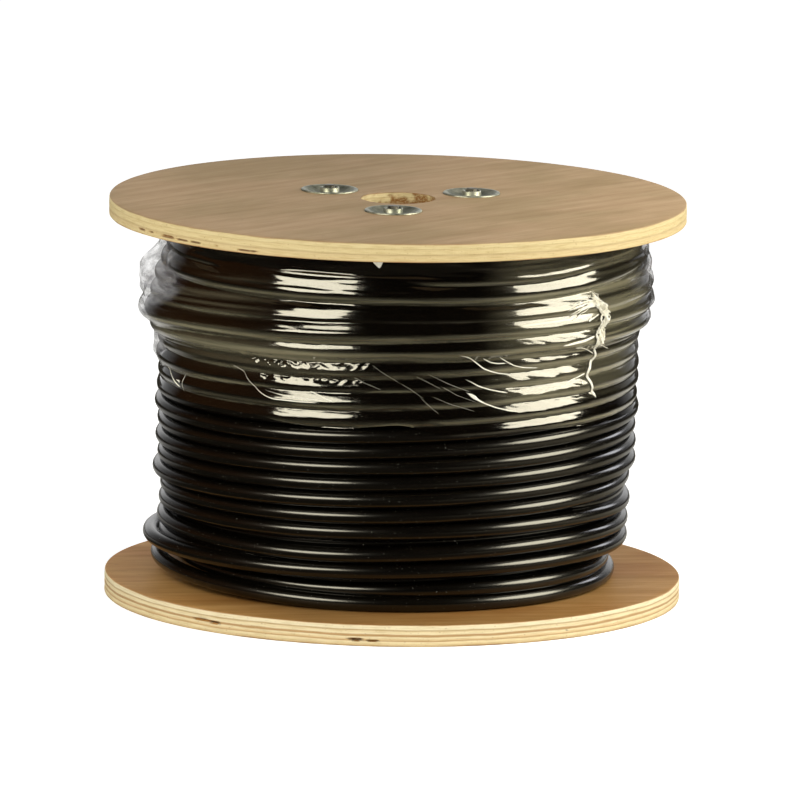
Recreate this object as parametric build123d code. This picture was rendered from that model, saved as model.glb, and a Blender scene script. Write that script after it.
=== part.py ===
"""Cable drum standing on its lower flange: two plywood flanges on a fibre barrel, drawn
together by three tie bolts with cup nuts, and wound full of black cable whose upper turns
are wrapped in stretch film.

Lengths are in millimetres. The origin is the centre of the lower flange's underside, where
the drum meets the floor. +Z runs up the drum's axis.
"""

from build123d import *
from math import cos, pi, radians, sin
import os

# Flanges, round plywood plates
flange_diameter = 400.0
upper_thickness = 12.7
lower_thickness = 15.0
edge_ease = 1.0
spindle_bore = 51.0

# Barrel, the tube that the cable is wound on
barrel_diameter = 150.0
barrel_wall = 5.0

# Tie bolts, with low round heads let into the lower flange
bolt_count = 3
bolt_diameter = 8.0
bolt_hole = 9.0
bolt_circle = 114.0
first_bolt_angle = 26.8
bolt_end = 1.6
head_diameter = 20.6
head_height = 4.6
head_seat_diameter = 24.0
head_seat_depth = 5.2

# Cup nuts, dished discs let into the upper flange, a collar in the dish carrying the thread
cup_diameter = 40.0
cup_lip = 2.5
cup_depth = 4.0
cup_base = 1.5
cup_proud = 1.0
collar_diameter = 13.5
collar_rise = 1.2

# Cable: the traverse between the flanges holds a whole number of turns, counted upwards.
# Bare turns are pairs of how many and the radius of their crests.
turns = 22
traverse = 250.0
bare_turns = [(3, 157.0), (4, 163.0), (4, 166.0)]
wrapped_radius = 166.0
bulge_radius = 177.0
first_full_turn = 17

# Rolls that the wrapped turns form: the turn that begins each, and the dip before it
roll_turns = [(16, wrapped_radius), (18, bulge_radius), (20, bulge_radius)]
roll_dip = 6.0

# Stretch film, many thin layers taken as one skin from its hem up to the flange
film_thickness = 0.5
hem_height = 144.8

pitch = traverse / turns
wound_bottom = lower_thickness
wound_top = wound_bottom + traverse
drum_height = wound_top + upper_thickness
cup_seat_depth = cup_depth + cup_base - cup_proud
bolt_top = drum_height + cup_proud + collar_rise + bolt_end
bolt_angles = [first_bolt_angle + 360.0 / bolt_count * k for k in range(bolt_count)]

# A vee between two turns that holds as much air as the hollow between two circles
vee_depth = pitch * (1 - pi / 4)


def turned(points):
    """One solid of revolution about Z from the outline (radius, height)."""
    outline = [(radius, 0, height) for radius, height in points]
    return revolve(make_face(Polyline(*outline, close=True)), Axis.Z)


def disc(diameter, low, high):
    """A round plate or rod on the Z axis between two heights."""
    base_up = (Align.CENTER, Align.CENTER, Align.MIN)
    return Pos(0, 0, low) * Cylinder(diameter / 2, high - low, align=base_up)


def at_bolt(shape, angle):
    """The shape, made on the Z axis, moved out to one tie bolt's line."""
    x = bolt_circle / 2 * cos(radians(angle))
    y = bolt_circle / 2 * sin(radians(angle))
    return Pos(x, y, 0) * shape


def flange(low, high, seat):
    """Plywood plate between two heights, its top edge eased, with its bore and bolt holes."""
    plate = disc(flange_diameter, low, high)
    plate = chamfer(plate.edges().group_by(Axis.Z)[-1], edge_ease)
    plate -= disc(spindle_bore, low, high)
    for angle in bolt_angles:
        plate -= at_bolt(disc(bolt_hole, low, high) + seat, angle)
    return plate


def upper_flange():
    """Upper plate, with seats for the cup nuts in its top."""
    seat = disc(cup_diameter, drum_height - cup_seat_depth, drum_height)
    return flange(wound_top, drum_height, seat)


def lower_flange():
    """Lower plate, with seats for the bolt heads in its underside."""
    return flange(0, wound_bottom, disc(head_seat_diameter, 0, head_seat_depth))


def barrel():
    """Tube between the flanges."""
    tube = disc(barrel_diameter, wound_bottom, wound_top)
    return tube - disc(barrel_diameter - 2 * barrel_wall, wound_bottom, wound_top)


def tie_bolt(angle):
    """Bolt from its head in the lower flange to its end above the cup nut's collar."""
    head = disc(head_diameter, head_seat_depth - head_height, head_seat_depth)
    return at_bolt(head + disc(bolt_diameter, head_seat_depth, bolt_top), angle)


def cup_nut(angle):
    """Disc with a coned dish in its top and a collar that stands in the dish."""
    rim = drum_height + cup_proud
    outline = [
        (bolt_diameter / 2, rim - cup_depth - cup_base),
        (cup_diameter / 2, rim - cup_depth - cup_base),
        (cup_diameter / 2, rim),
        (cup_diameter / 2 - cup_lip, rim),
        (collar_diameter / 2, rim - cup_depth),
        (collar_diameter / 2, rim + collar_rise),
        (bolt_diameter / 2, rim + collar_rise),
    ]
    return at_bolt(turned(outline), angle)


def crest_height(turn):
    """Height of a turn's crest, the turns counted upwards from 1."""
    return wound_bottom + (turn - 0.5) * pitch


def bulge(skin):
    """The step out to the fuller upper turns, and their side up to the flange."""
    return [
        (wrapped_radius + skin, crest_height(first_full_turn - 1)),
        (bulge_radius + skin, crest_height(first_full_turn)),
        (bulge_radius + skin, wound_top),
    ]


def bare_side():
    """Crests of the bare turns with a vee between them, up to the first wrapped crest."""
    crests = [radius for count, radius in bare_turns for _ in range(count)]
    side = [(crests[0] - vee_depth, wound_bottom)]
    for index, radius in enumerate(crests):
        next_radius = (crests + [wrapped_radius])[index + 1]
        side.append((radius, crest_height(index + 1)))
        side.append((min(radius, next_radius) - vee_depth, crest_height(index + 1) + pitch / 2))
    return side + [(wrapped_radius, crest_height(len(crests) + 1))]


def wrapped_side():
    """Outline under the film, where the turns lie close: smooth, with a dip between rolls."""
    side = []
    for turn, radius in roll_turns:
        side.append((radius, crest_height(turn - 1)))
        side.append((radius - roll_dip, crest_height(turn) - pitch / 2))
        side.append((radius, crest_height(turn)))
    return side + [(bulge_radius, wound_top)]


def cable_winding():
    """All the wound cable as one turned solid, hollow where the barrel goes through."""
    core = barrel_diameter / 2
    return turned([(core, wound_bottom)] + bare_side() + wrapped_side() + [(core, wound_top)])


def stretch_film():
    """Skin over the upper turns."""
    inside = [(wrapped_radius, hem_height)] + bulge(0)
    outside = [(wrapped_radius + film_thickness, hem_height)] + bulge(film_thickness)
    return turned(inside + outside[::-1])


pieces = {
    "upper_flange": upper_flange(),
    "lower_flange": lower_flange(),
    "barrel": barrel(),
    "cable_winding": cable_winding(),
    "stretch_film": stretch_film(),
    "cup_nuts": Compound(children=[cup_nut(angle) for angle in bolt_angles]),
}
for number, angle in enumerate(bolt_angles, start=1):
    pieces[f"tie_bolt_{number}"] = tie_bolt(angle)

os.makedirs("parts", exist_ok=True)
for name, piece in pieces.items():
    export_step(piece, f"parts/{name}.step")
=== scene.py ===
"""Looks of the cable drum: plywood flanges, black cable, stretch film, cup nuts and bolts.

Shapes are worked out in millimetres and put into the meshes in metres. Round the drum, an
angle of 0 is the front, -90 the left and 90 the right, in degrees.
"""

import math
import bpy
import bmesh
import numpy as np
from mathutils import Matrix


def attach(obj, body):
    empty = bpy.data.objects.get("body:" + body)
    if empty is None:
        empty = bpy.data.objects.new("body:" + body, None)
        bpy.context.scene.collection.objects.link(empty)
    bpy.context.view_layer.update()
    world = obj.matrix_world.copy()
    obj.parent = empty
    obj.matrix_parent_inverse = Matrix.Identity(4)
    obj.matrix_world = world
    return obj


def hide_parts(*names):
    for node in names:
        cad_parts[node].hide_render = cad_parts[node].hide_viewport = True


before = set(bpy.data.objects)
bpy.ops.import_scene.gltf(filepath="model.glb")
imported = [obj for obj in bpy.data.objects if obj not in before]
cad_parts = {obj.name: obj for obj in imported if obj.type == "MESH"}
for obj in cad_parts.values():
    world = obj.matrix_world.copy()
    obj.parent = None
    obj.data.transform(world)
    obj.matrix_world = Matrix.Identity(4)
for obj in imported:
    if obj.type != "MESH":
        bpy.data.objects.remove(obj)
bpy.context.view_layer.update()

MM = 0.001
ROOT = "root"

# Drum
FLANGE_RADIUS = 200.0
BORE_RADIUS = 25.5
HUB_RADIUS = 85.0
LOWER_TOP = 15.0
UPPER_LOW = 265.0
UPPER_TOP = 277.7
BOLT_CIRCLE = 57.0
BOLT_ANGLES = [26.8, 146.8, 266.8]
BOLT_HOLE = 4.5
NUT_SEAT = 20.0
NUT_SEAT_DEPTH = 4.5
HEAD_SEAT = 12.0
HEAD_SEAT_DEPTH = 5.2
BOLT_TOP = 281.5

# Cable. Each layer lies so much deeper than the one over it
CABLE_RADIUS = 5.45
LAYER_DROP = 9.0
BARREL_RADIUS = 75.0
CORE_RADIUS = 146.5
PLACES = np.array([-90.0, -19.0, 39.0, 90.0])

# One row for each turn of the outer layer, from the lower flange up: heights of its centre
# line at the four places, then the radii of its crest there
TURNS = np.array([
    [27.5, 20.5, 20.5, 20.6, 169.0, 158.0, 156.0, 155.0],
    [33.0, 27.8, 31.8, 29.5, 155.0, 150.0, 160.0, 149.0],
    [42.5, 42.6, 45.8, 44.6, 174.8, 163.0, 161.0, 164.3],
    [55.0, 53.4, 59.3, 56.4, 165.0, 162.0, 162.5, 164.2],
    [66.9, 69.9, 73.3, 71.0, 163.0, 163.0, 164.0, 163.6],
    [77.2, 80.6, 86.2, 87.9, 161.5, 163.5, 165.0, 164.0],
    [87.8, 92.7, 97.3, 99.6, 168.3, 166.0, 165.5, 168.3],
    [99.0, 103.8, 108.6, 111.0, 164.4, 165.5, 166.0, 168.8],
    [110.4, 115.0, 119.9, 123.0, 165.8, 166.0, 166.0, 167.6],
    [122.0, 125.8, 131.5, 135.4, 165.8, 166.0, 166.0, 169.0],
    [134.4, 136.6, 143.0, 146.0, 166.0, 166.0, 166.0, 168.5],
    [145.8, 148.5, 153.5, 156.8, 165.8, 166.0, 166.0, 168.3],
    [157.5, 160.0, 165.0, 167.0, 165.5, 166.0, 166.0, 168.3],
    [169.0, 170.8, 175.6, 178.0, 165.0, 166.0, 166.5, 168.3],
    [180.0, 182.3, 187.8, 188.0, 165.5, 167.0, 167.5, 169.0],
    [189.5, 198.3, 200.8, 199.4, 170.5, 174.3, 175.0, 174.0],
    [200.0, 210.0, 213.0, 211.4, 173.6, 176.5, 177.0, 176.5],
    [212.0, 220.0, 221.6, 224.0, 171.0, 174.4, 175.7, 175.5],
    [224.0, 228.4, 229.6, 236.0, 167.0, 168.0, 169.0, 175.0],
    [236.0, 237.0, 237.0, 247.8, 162.0, 176.8, 177.6, 173.0],
    [247.7, 248.2, 247.0, 259.0, 160.0, 173.3, 176.4, 169.0],
    [259.0, 259.1, 258.6, 259.1, 160.0, 170.0, 174.5, 159.0],
])

# Film: heights of its lower edge round the drum
HEM_PLACES = [-180, -130, -90, -72, -33.5, -23, -12.3, 1.3, 13.5, 43, 89, 130, 180]
HEM_HEIGHTS = [141, 145, 146.5, 147.5, 146.7, 144.7, 143.5, 147.6, 139.1, 139.5, 135.5, 138, 141]
FILM_TOP = 264.6
FILM_COLUMNS = 700
FILM_ROWS = 140
PUFF_ANGLE = -93.0

# Camera
CAMERA_DISTANCE = 8.743
CAMERA_ELEVATION = 9.908
CAMERA_ROLL = 0.95
CAMERA_LENS = 566.76
CAMERA_TARGET = (0.0036, 0.0, 0.1358)


# Shapes

def around(radius, angle, height):
    """Points at a radius, an angle from the front and a height, as one array."""
    turn = np.radians(angle)
    radius, turn, height = np.broadcast_arrays(radius, turn, height)
    return np.stack([radius * np.sin(turn), -radius * np.cos(turn), height], -1)


def grid(points):
    """A surface from rows and columns of points, its columns all the way round: its vertices
    and its four-sided faces."""
    rows, columns = points.shape[:2]
    number = np.arange(rows * columns).reshape(rows, columns)
    number = np.hstack([number, number[:, :1]])
    corners = [number[:-1, :-1], number[:-1, 1:], number[1:, 1:], number[1:, :-1]]
    return points.reshape(-1, 3), np.stack(corners, -1).reshape(-1, 4)


def between(first, last, rows=1):
    """A surface ruled between two closed loops of the same number of points."""
    share = np.linspace(0, 1, rows + 1)[:, None, None]
    return grid(first * (1 - share) + last * share)


def turned(profile, count, centre=(0, 0)):
    """A profile of (radius, height) carried round a line that stands at the centre."""
    radius, height = np.array(profile, float).T
    points = around(radius[:, None], np.arange(count) * 360 / count, height[:, None])
    return grid(points + [centre[0], centre[1], 0])


def arc(centre, radius, start, end, count):
    """Points (radius, height) on an arc, angles in degrees from straight out."""
    turn = np.radians(np.linspace(start, end, count))
    return [(centre[0] + radius * math.cos(a), centre[1] + radius * math.sin(a)) for a in turn]


def bolt_centre(angle):
    """Where one tie bolt's line stands."""
    return BOLT_CIRCLE * math.cos(math.radians(angle)), BOLT_CIRCLE * math.sin(math.radians(angle))


def make_piece(name, surfaces, finish, stands_for=(), marks=None, weld=0.002, corner=35):
    """A piece from surfaces of (vertices, faces), welded where they meet, and sharp along the
    edges where its faces turn by more than the corner angle."""
    points = np.vstack([vertices for vertices, _ in surfaces]) * MM
    starts = np.cumsum([0] + [len(vertices) for vertices, _ in surfaces[:-1]])
    faces = np.vstack([faces + start for (_, faces), start in zip(surfaces, starts)])
    mesh = bpy.data.meshes.new(name)
    mesh.from_pydata(points.tolist(), [], faces.tolist())
    mesh.materials.append(finish)
    mesh.polygons.foreach_set("use_smooth", np.ones(len(faces), bool))
    for mark, values in (marks or {}).items():
        mesh.attributes.new(mark, "FLOAT", "POINT").data.foreach_set("value", values)
    if weld:
        shape = bmesh.new()
        shape.from_mesh(mesh)
        bmesh.ops.remove_doubles(shape, verts=shape.verts, dist=weld * MM)
        bmesh.ops.recalc_face_normals(shape, faces=shape.faces)
        shape.to_mesh(mesh)
        shape.free()
    mesh.set_sharp_from_angle(angle=math.radians(corner))
    piece = bpy.data.objects.new(name, mesh)
    bpy.context.scene.collection.objects.link(piece)
    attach(piece, ROOT)
    if stands_for:
        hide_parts(*stands_for)
    return piece


def waves(points, size, count, seed):
    """Smooth noise from -1 to 1: a sum of sine waves that run in random directions."""
    rng = np.random.default_rng(seed)
    directions = rng.normal(size=(3, count)) / (np.array(size, float)[:, None])
    return np.sin(points @ directions + rng.uniform(0, 2 * np.pi, count)).sum(-1) / math.sqrt(count)


def rubbed(seed, rows, columns, row_size, column_size, lean=0.0):
    """Random unevenness on a grid, rubbed smooth over so many rows and columns, along a lean."""
    noise = np.fft.rfft2(np.random.default_rng(seed).normal(size=(rows, columns)))
    up = np.fft.fftfreq(rows)[:, None]
    along = np.fft.rfftfreq(columns)[None, :]
    along_lean = along + lean * up
    noise = noise * np.exp(-2 * np.pi**2 * ((up * row_size) ** 2 + (along_lean * column_size) ** 2))
    field = np.fft.irfft2(noise, s=(rows, columns))
    return field / field.std()


def smooth_step(low, high, value):
    """0 below low, 1 above high, and an even curve between."""
    share = np.clip((value - low) / (high - low), 0, 1)
    return share * share * (3 - 2 * share)


def window(value, start, full, last, end):
    """1 from full to last, 0 before start and after end, and even curves between."""
    return smooth_step(start, full, value) * smooth_step(end, last, value)


def bell(value, middle, width):
    """1 at the middle, falling away evenly on both sides."""
    return np.exp(-0.5 * ((value - middle) / width) ** 2)


# Cable

STEP = 2.5
HIDDEN_STEP = 3.75
TURN_ANGLES = (np.arange(len(TURNS))[:, None] * 360 + PLACES).ravel()
FIRST_ANGLE = -200.0
LAST_ANGLE = 360.0 * (len(TURNS) - 1) + 215.0


def cable_line():
    """Angles, crest radii and heights along the outer layer: straight between the places in
    TURNS, then rubbed smooth over some ten degrees. Both ends sink to the layer below."""
    angles = np.arange(FIRST_ANGLE, LAST_ANGLE, STEP)
    heights = np.interp(angles, TURN_ANGLES, TURNS[:, :4].ravel())
    crests = np.interp(angles, TURN_ANGLES, TURNS[:, 4:].ravel())
    reach = np.arange(-18, 19)
    weight = np.exp(-0.5 * (reach * STEP / 11.0) ** 2)
    weight /= weight.sum()
    heights = np.convolve(np.pad(heights, 18, mode="edge"), weight, "valid")
    crests = np.convolve(np.pad(crests, 18, mode="edge"), weight, "valid")
    rng = np.random.default_rng(7)
    for size, amount in ((9.0, 0.28), (23.0, 0.45)):
        reach = np.arange(-60, 61)
        weight = np.exp(-0.5 * (reach * STEP / size) ** 2)
        weight /= np.sqrt((weight**2).sum())
        crests += amount * np.convolve(rng.normal(size=len(angles) + 120), weight, "valid")
    heights = np.maximum(heights, LOWER_TOP + CABLE_RADIUS + 0.05)
    sunk = smooth_step(-150, -195, angles) + smooth_step(LAST_ANGLE - 70, LAST_ANGLE, angles)
    crests -= LAYER_DROP * sunk
    return angles, crests, heights


LINE_ANGLES, LINE_CRESTS, LINE_HEIGHTS = cable_line()


def cable_tube(angles, crests, heights, sides):
    """The cable's round section carried along a line of crests: at an angle a of the section
    the radius from the axis is crest - r + r cos a and the height is centre + r sin a. Both
    ends close in three steps."""
    section = np.arange(sides) * 2 * np.pi / sides
    ends = np.r_[0, 0, 0, np.arange(len(angles)), [len(angles) - 1] * 3]
    shrink = np.r_[0, 0.7, 0.93, np.ones(len(angles)), 0.93, 0.7, 0]
    across = CABLE_RADIUS * shrink[:, None]
    points = around(
        (crests[ends] - CABLE_RADIUS)[:, None] + across * np.cos(section),
        angles[ends][:, None],
        heights[ends][:, None] + across * np.sin(section),
    )
    return grid(points)


def lower_line():
    """The layer below lies in the valleys: half way up between two turns, and deeper."""
    angles = np.arange(FIRST_ANGLE, LAST_ANGLE - 360, HIDDEN_STEP)
    here = [np.interp(angles, LINE_ANGLES, line) for line in (LINE_CRESTS, LINE_HEIGHTS)]
    next_turn = [np.interp(angles + 360, LINE_ANGLES, line) for line in (LINE_CRESTS, LINE_HEIGHTS)]
    crests = np.minimum(here[0], next_turn[0]) - LAYER_DROP
    return angles, crests, (here[1] + next_turn[1]) / 2


def gap_turn(first, last, middle, fall, crest, drop, height):
    """A short turn at one height that fills a gap of the outer layer. Its crest falls by a drop
    towards both ends, between two distances from its middle, in degrees."""
    angles = np.arange(first, last, HIDDEN_STEP)
    crests = crest - drop * smooth_step(*fall, np.abs(angles - middle))
    return cable_tube(angles, crests, np.full(len(angles), height), 14)


def make_winding(jacket):
    """Outer turns, the layer below them with a turn in each gap, left and right, and the rest of
    the cable as one dark core."""
    outer = cable_tube(LINE_ANGLES, LINE_CRESTS, LINE_HEIGHTS, 18)
    make_piece("outer_turns", [outer], jacket, ["cable_winding"], weld=0.0005)
    lower = cable_tube(*lower_line(), 12)
    left = gap_turn(-150.0, -22.0, -86, (44, 62), 163.0, 13, 44.3)
    right = gap_turn(30.0, 160.0, 92, (24, 52), 160.5, 10, 79.6)
    make_piece("lower_turns", [lower, left, right], jacket, weld=0.0005)
    inner, low, high = BARREL_RADIUS + 0.05, LOWER_TOP + 0.1, UPPER_LOW - 0.1
    section = [(inner, low), (CORE_RADIUS, low), (CORE_RADIUS, high), (inner, high), (inner, low)]
    make_piece("winding_core", [turned(section, 96)], jacket)


# Film

FILM_ANGLES = -180 + np.arange(FILM_COLUMNS) * 360 / FILM_COLUMNS
MM_PER_DEGREE = 3.0

# Turns that the film treats in its own way, counted from 0
LEFT_BULGE = 16
RIGHT_BULGES = slice(15, 21)
STEPPED_TURN = 19


def film_off_cable(off, uneven):
    """How far inside a crest the film lies, at heights off its centre. Above it the film leaves
    the cable early and leans in more and more; below, it follows the cable and then falls away
    steeply. On the arc the drop is r - sqrt(r r - off off), beyond it a parabola or a line."""
    first, last, reach, steep = 0.06 + 0.03 * uneven, 0.56 + 0.09 * uneven, 7.0, 1.3
    leave = CABLE_RADIUS * first
    beyond = np.maximum(off - leave, 0)
    lean = np.minimum(beyond, reach)
    above = first * beyond + (last - first) * (lean**2 / (2 * reach) + np.maximum(beyond - reach, 0))
    hold = CABLE_RADIUS * steep / math.hypot(1, steep)
    drop = CABLE_RADIUS - np.sqrt(np.maximum(CABLE_RADIUS**2 - np.minimum(-off, hold) ** 2, 0))
    below = drop + steep * np.maximum(-off - hold, 0)
    curve = CABLE_RADIUS - np.sqrt(np.maximum(CABLE_RADIUS**2 - np.clip(off, 0, leave) ** 2, 0))
    return np.where(off > 0, curve + above, below)


def creases(seed, row_size, column_size, lean=0.0):
    """Random unevenness on the film's grid."""
    return rubbed(seed, FILM_ROWS, FILM_COLUMNS, row_size, column_size, lean)


def film_grid():
    """Angles and heights on the film's grid, from its slanting hem up to its top."""
    hem = np.interp(FILM_ANGLES, HEM_PLACES, HEM_HEIGHTS)
    hem = np.convolve(np.pad(hem, 8, mode="wrap"), np.ones(9) / 9, "same")[8:-8]
    hem = hem + 0.5 * rubbed(3, 8, FILM_COLUMNS, 1, 9)[0]
    share = np.linspace(0, 1, FILM_ROWS)[:, None]
    height = hem * (1 - share) + FILM_TOP * share
    return np.broadcast_to(FILM_ANGLES, height.shape), height


def crest_lines():
    """Heights and radii of the crests that carry the film, for each turn and angle. At both
    sides the film stands off the fuller turns a little."""
    turn = np.arange(len(TURNS) + 1)[:, None] * 360 + FILM_ANGLES
    centres = np.maximum.accumulate(np.interp(turn, LINE_ANGLES, LINE_HEIGHTS), 0)
    crests = np.interp(turn, LINE_ANGLES, LINE_CRESTS)
    crests[LEFT_BULGE] += 4.0 * smooth_step(38, 14, np.abs(FILM_ANGLES - PUFF_ANGLE))
    crests[RIGHT_BULGES] += np.interp(FILM_ANGLES, [39, 90, 130, 180], [0, 2.0, 1.4, 0])
    return centres, crests


def tight_film(angle, height):
    """Radii of the crests and of the film drawn over them: the largest that any crest gives it,
    so it bridges a turn that lies sunk. Over the stepped turn it comes down in steps in front,
    and near the flange it stands upright there."""
    centres, crests = crest_lines()
    uneven = np.clip(creases(5, 7, 22), -1.6, 1.6)
    off = height[None] - centres[:, None]
    over = crests[:, None] - CABLE_RADIUS + np.sqrt(np.maximum(CABLE_RADIUS**2 - off**2, 0))
    cable = np.where(np.abs(off) < CABLE_RADIUS, over, 0).max(0)
    tight = (crests[:, None] - film_off_cable(off, uneven)).max(0)

    off = off[STEPPED_TURN]
    steps = np.interp(off, [0, 1.4, 4.3, 14.5, 30], [0, -0.33, -0.40, -3.2, -3.4])
    share = window(angle, -52, -42, 0, 10) * smooth_step(-0.5, 0.5, off)
    tight = tight * (1 - share) + (crests[STEPPED_TURN] + steps) * share

    start = np.interp(FILM_ANGLES, [-60, -19, 20, 39, 75], [250.5, 251.5, 250, 248.3, 249])
    row = np.rint((start - height[0]) / (FILM_TOP - height[0]) * (FILM_ROWS - 1)).astype(int)
    upright = tight[row, np.arange(FILM_COLUMNS)] - 0.01 * (height - start)
    share = smooth_step(-1.5, 1.5, height - start) * window(angle, -64, -50, 68, 84)
    return cable, tight * (1 - share) + np.maximum(upright, cable + 0.2) * share


def slack_film(angle, height):
    """Radii of the film where it is slack at the left: the puff under the flange, and the part
    that gathers below it. Elsewhere they lie behind the tight film."""
    puff = np.interp(
        height,
        [196, 205, 207, 212, 217, 222, 227, 233.5, 242, 250, 265],
        [150, 168, 172.3, 176.0, 178.6, 179.3, 178.6, 174.5, 167, 162, 156],
    )
    puff -= 26 * smooth_step(12, 44, np.abs(angle - PUFF_ANGLE))
    gathered = np.interp(
        height, [157, 163, 169, 186, 194, 205], [150, 164.8, 167.3, 168.6, 170.5, 165]
    )
    return puff, gathered - 14 * smooth_step(8, 30, np.abs(angle + 91))


def looseness(angle, height, puff, gathered):
    """How loose the film is, from 0 to about 1, given how far the two slack parts stand out from
    the tight film. At both sides it is loose over the bulges too, and it thins out in wisps."""
    wisps = np.clip(0.8 + 0.4 * creases(21, 1.3, 26, -0.12), 0.15, 1.2)
    loose = smooth_step(-12, 5, puff) * smooth_step(266, 259, height)
    loose = loose * smooth_step(46, 20, np.abs(angle - PUFF_ANGLE))
    loose = loose * (wisps + (1 - wisps) * smooth_step(0, 6, puff))
    left = window(angle, -130, -110, -84, -66)
    loose = np.maximum(loose, 0.95 * left * bell(height, 200, 6))
    below = 0.8 * left * smooth_step(-2, 1.5, gathered) * smooth_step(158, 166, height)
    loose = np.maximum(loose, below)
    right = window(angle, 72, 87, 112, 135) * smooth_step(150, 200, height)
    return np.maximum(loose, 0.6 * right * smooth_step(266, 260, height) * wisps)


def wrinkles(angle, height, loose):
    """Relief of the film: fine pulls all round, two crumpled bands at the left, drawn ones at
    the right, and soft folds where it is loose. It fades out at the film's two edges."""
    right = window(angle, 18, 30, 52, 64)
    fine = 0.045 * creases(11, 0.9, 34, 0.03)
    fine += 0.06 * creases(12, 1.1, 24, -0.22)
    fine += 0.09 * creases(13, 2.4, 36, 0.1)
    fine = fine * (1 - 0.6 * smooth_step(60, 80, np.abs(angle))) * (1 + 0.4 * right)
    bands = bell(height, 186.5, 3.6) + 0.8 * bell(height, 177.3, 2.0)
    bands = window(angle, -50, -38, -10, 0) * bands
    crumple = 0.34 * creases(15, 1.1, 3.6, -0.9)
    crumple = (crumple + 0.36 * creases(20, 1.1, 2.6, 1.5)) * bands
    drawn = right * smooth_step(148, 156, height) * smooth_step(212, 200, height)
    crumple += 0.15 * creases(19, 0.9, 8, -0.5) * drawn
    folds = 0.7 * creases(16, 3.0, 8, 0.8) * loose
    share = np.linspace(0, 1, FILM_ROWS)[:, None]
    return (fine + crumple + folds) * window(share, 0, 0.03, 0.97, 1)


def haze_and_sheen_share(angle, height, tilt):
    """How milky the film looks, from 0 to 1. Below a crest, where its radius grows upwards and it faces
    down, the milk is a painted reflection of the pale floor, more of it towards the right.
    It is milky too in the wide band drawn across the left and in layers at the left, and at the right in
    pale layers of painted light, all in streaks along it."""
    places = [-90, -60, -25, 5, 22, 34, 60, 80]
    # How much painted reflection the faces turned down get round the drum, more of it towards the right.
    amount = np.interp(FILM_ANGLES, places, [0.5, 0.62, 0.55, 0.42, 0.5, 0.85, 0.95, 0.7])
    # Painted reflection of the pale floor on the faces turned down, below each crest.
    haze_and_sheen = smooth_step(0.02, 0.5, tilt) * smooth_step(258, 246, height) * amount
    haze_and_sheen += 0.5 * window(angle, -96, -76, -30, -2) * bell(height, 191, 6.5)
    layers = np.clip(creases(18, 1.3, 45, 0.08), 0, 2)
    haze_and_sheen += 0.2 * layers * smooth_step(-24, -44, angle) * smooth_step(198, 206, height)
    # Painted light: pale milky layers at the right, where the light from the right falls strongest.
    right = window(angle, 18, 34, 66, 82) * smooth_step(150, 170, height)
    haze_and_sheen += (0.34 + 0.4 * layers) * right
    streaks = 0.78 + 0.32 * np.clip(creases(17, 0.9, 60, 0.05), -1.8, 1.8)
    return np.clip(haze_and_sheen * np.clip(streaks, 0.2, 1.3), 0, 1)


def film_surface():
    """Heights and radii of the film on its grid, how milky it is, that milk partly painted reflection of
    the floor and painted light, and how loose.
    It lies where the tight film, the slack film and the cable reach furthest out, and its relief comes on
    top."""
    angle, height = film_grid()
    cable, tight = tight_film(angle, height)
    puff, gathered = slack_film(angle, height)
    radius = np.maximum(np.maximum(cable + 0.25, tight), np.maximum(puff, gathered))
    tilt = np.gradient(radius, axis=0) / np.gradient(height, axis=0)
    loose = looseness(angle, height, puff - tight, gathered - tight)
    radius = np.maximum(radius + wrinkles(angle, height, loose), cable + 0.18)
    return height, radius, haze_and_sheen_share(angle, height, tilt), loose


FILM_HEIGHTS, FILM_RADII, FILM_HAZE_AND_SHEEN, FILM_LOOSE = film_surface()


def film_radius(angle, height):
    """The film's radius at some angles and heights, read from the nearest point of its grid."""
    column = np.rint((np.asarray(angle) + 180) / 360 * FILM_COLUMNS).astype(int) % FILM_COLUMNS
    gap = np.abs(FILM_HEIGHTS[:, column] - np.asarray(height))
    return FILM_RADII[gap.argmin(0), column]


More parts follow.
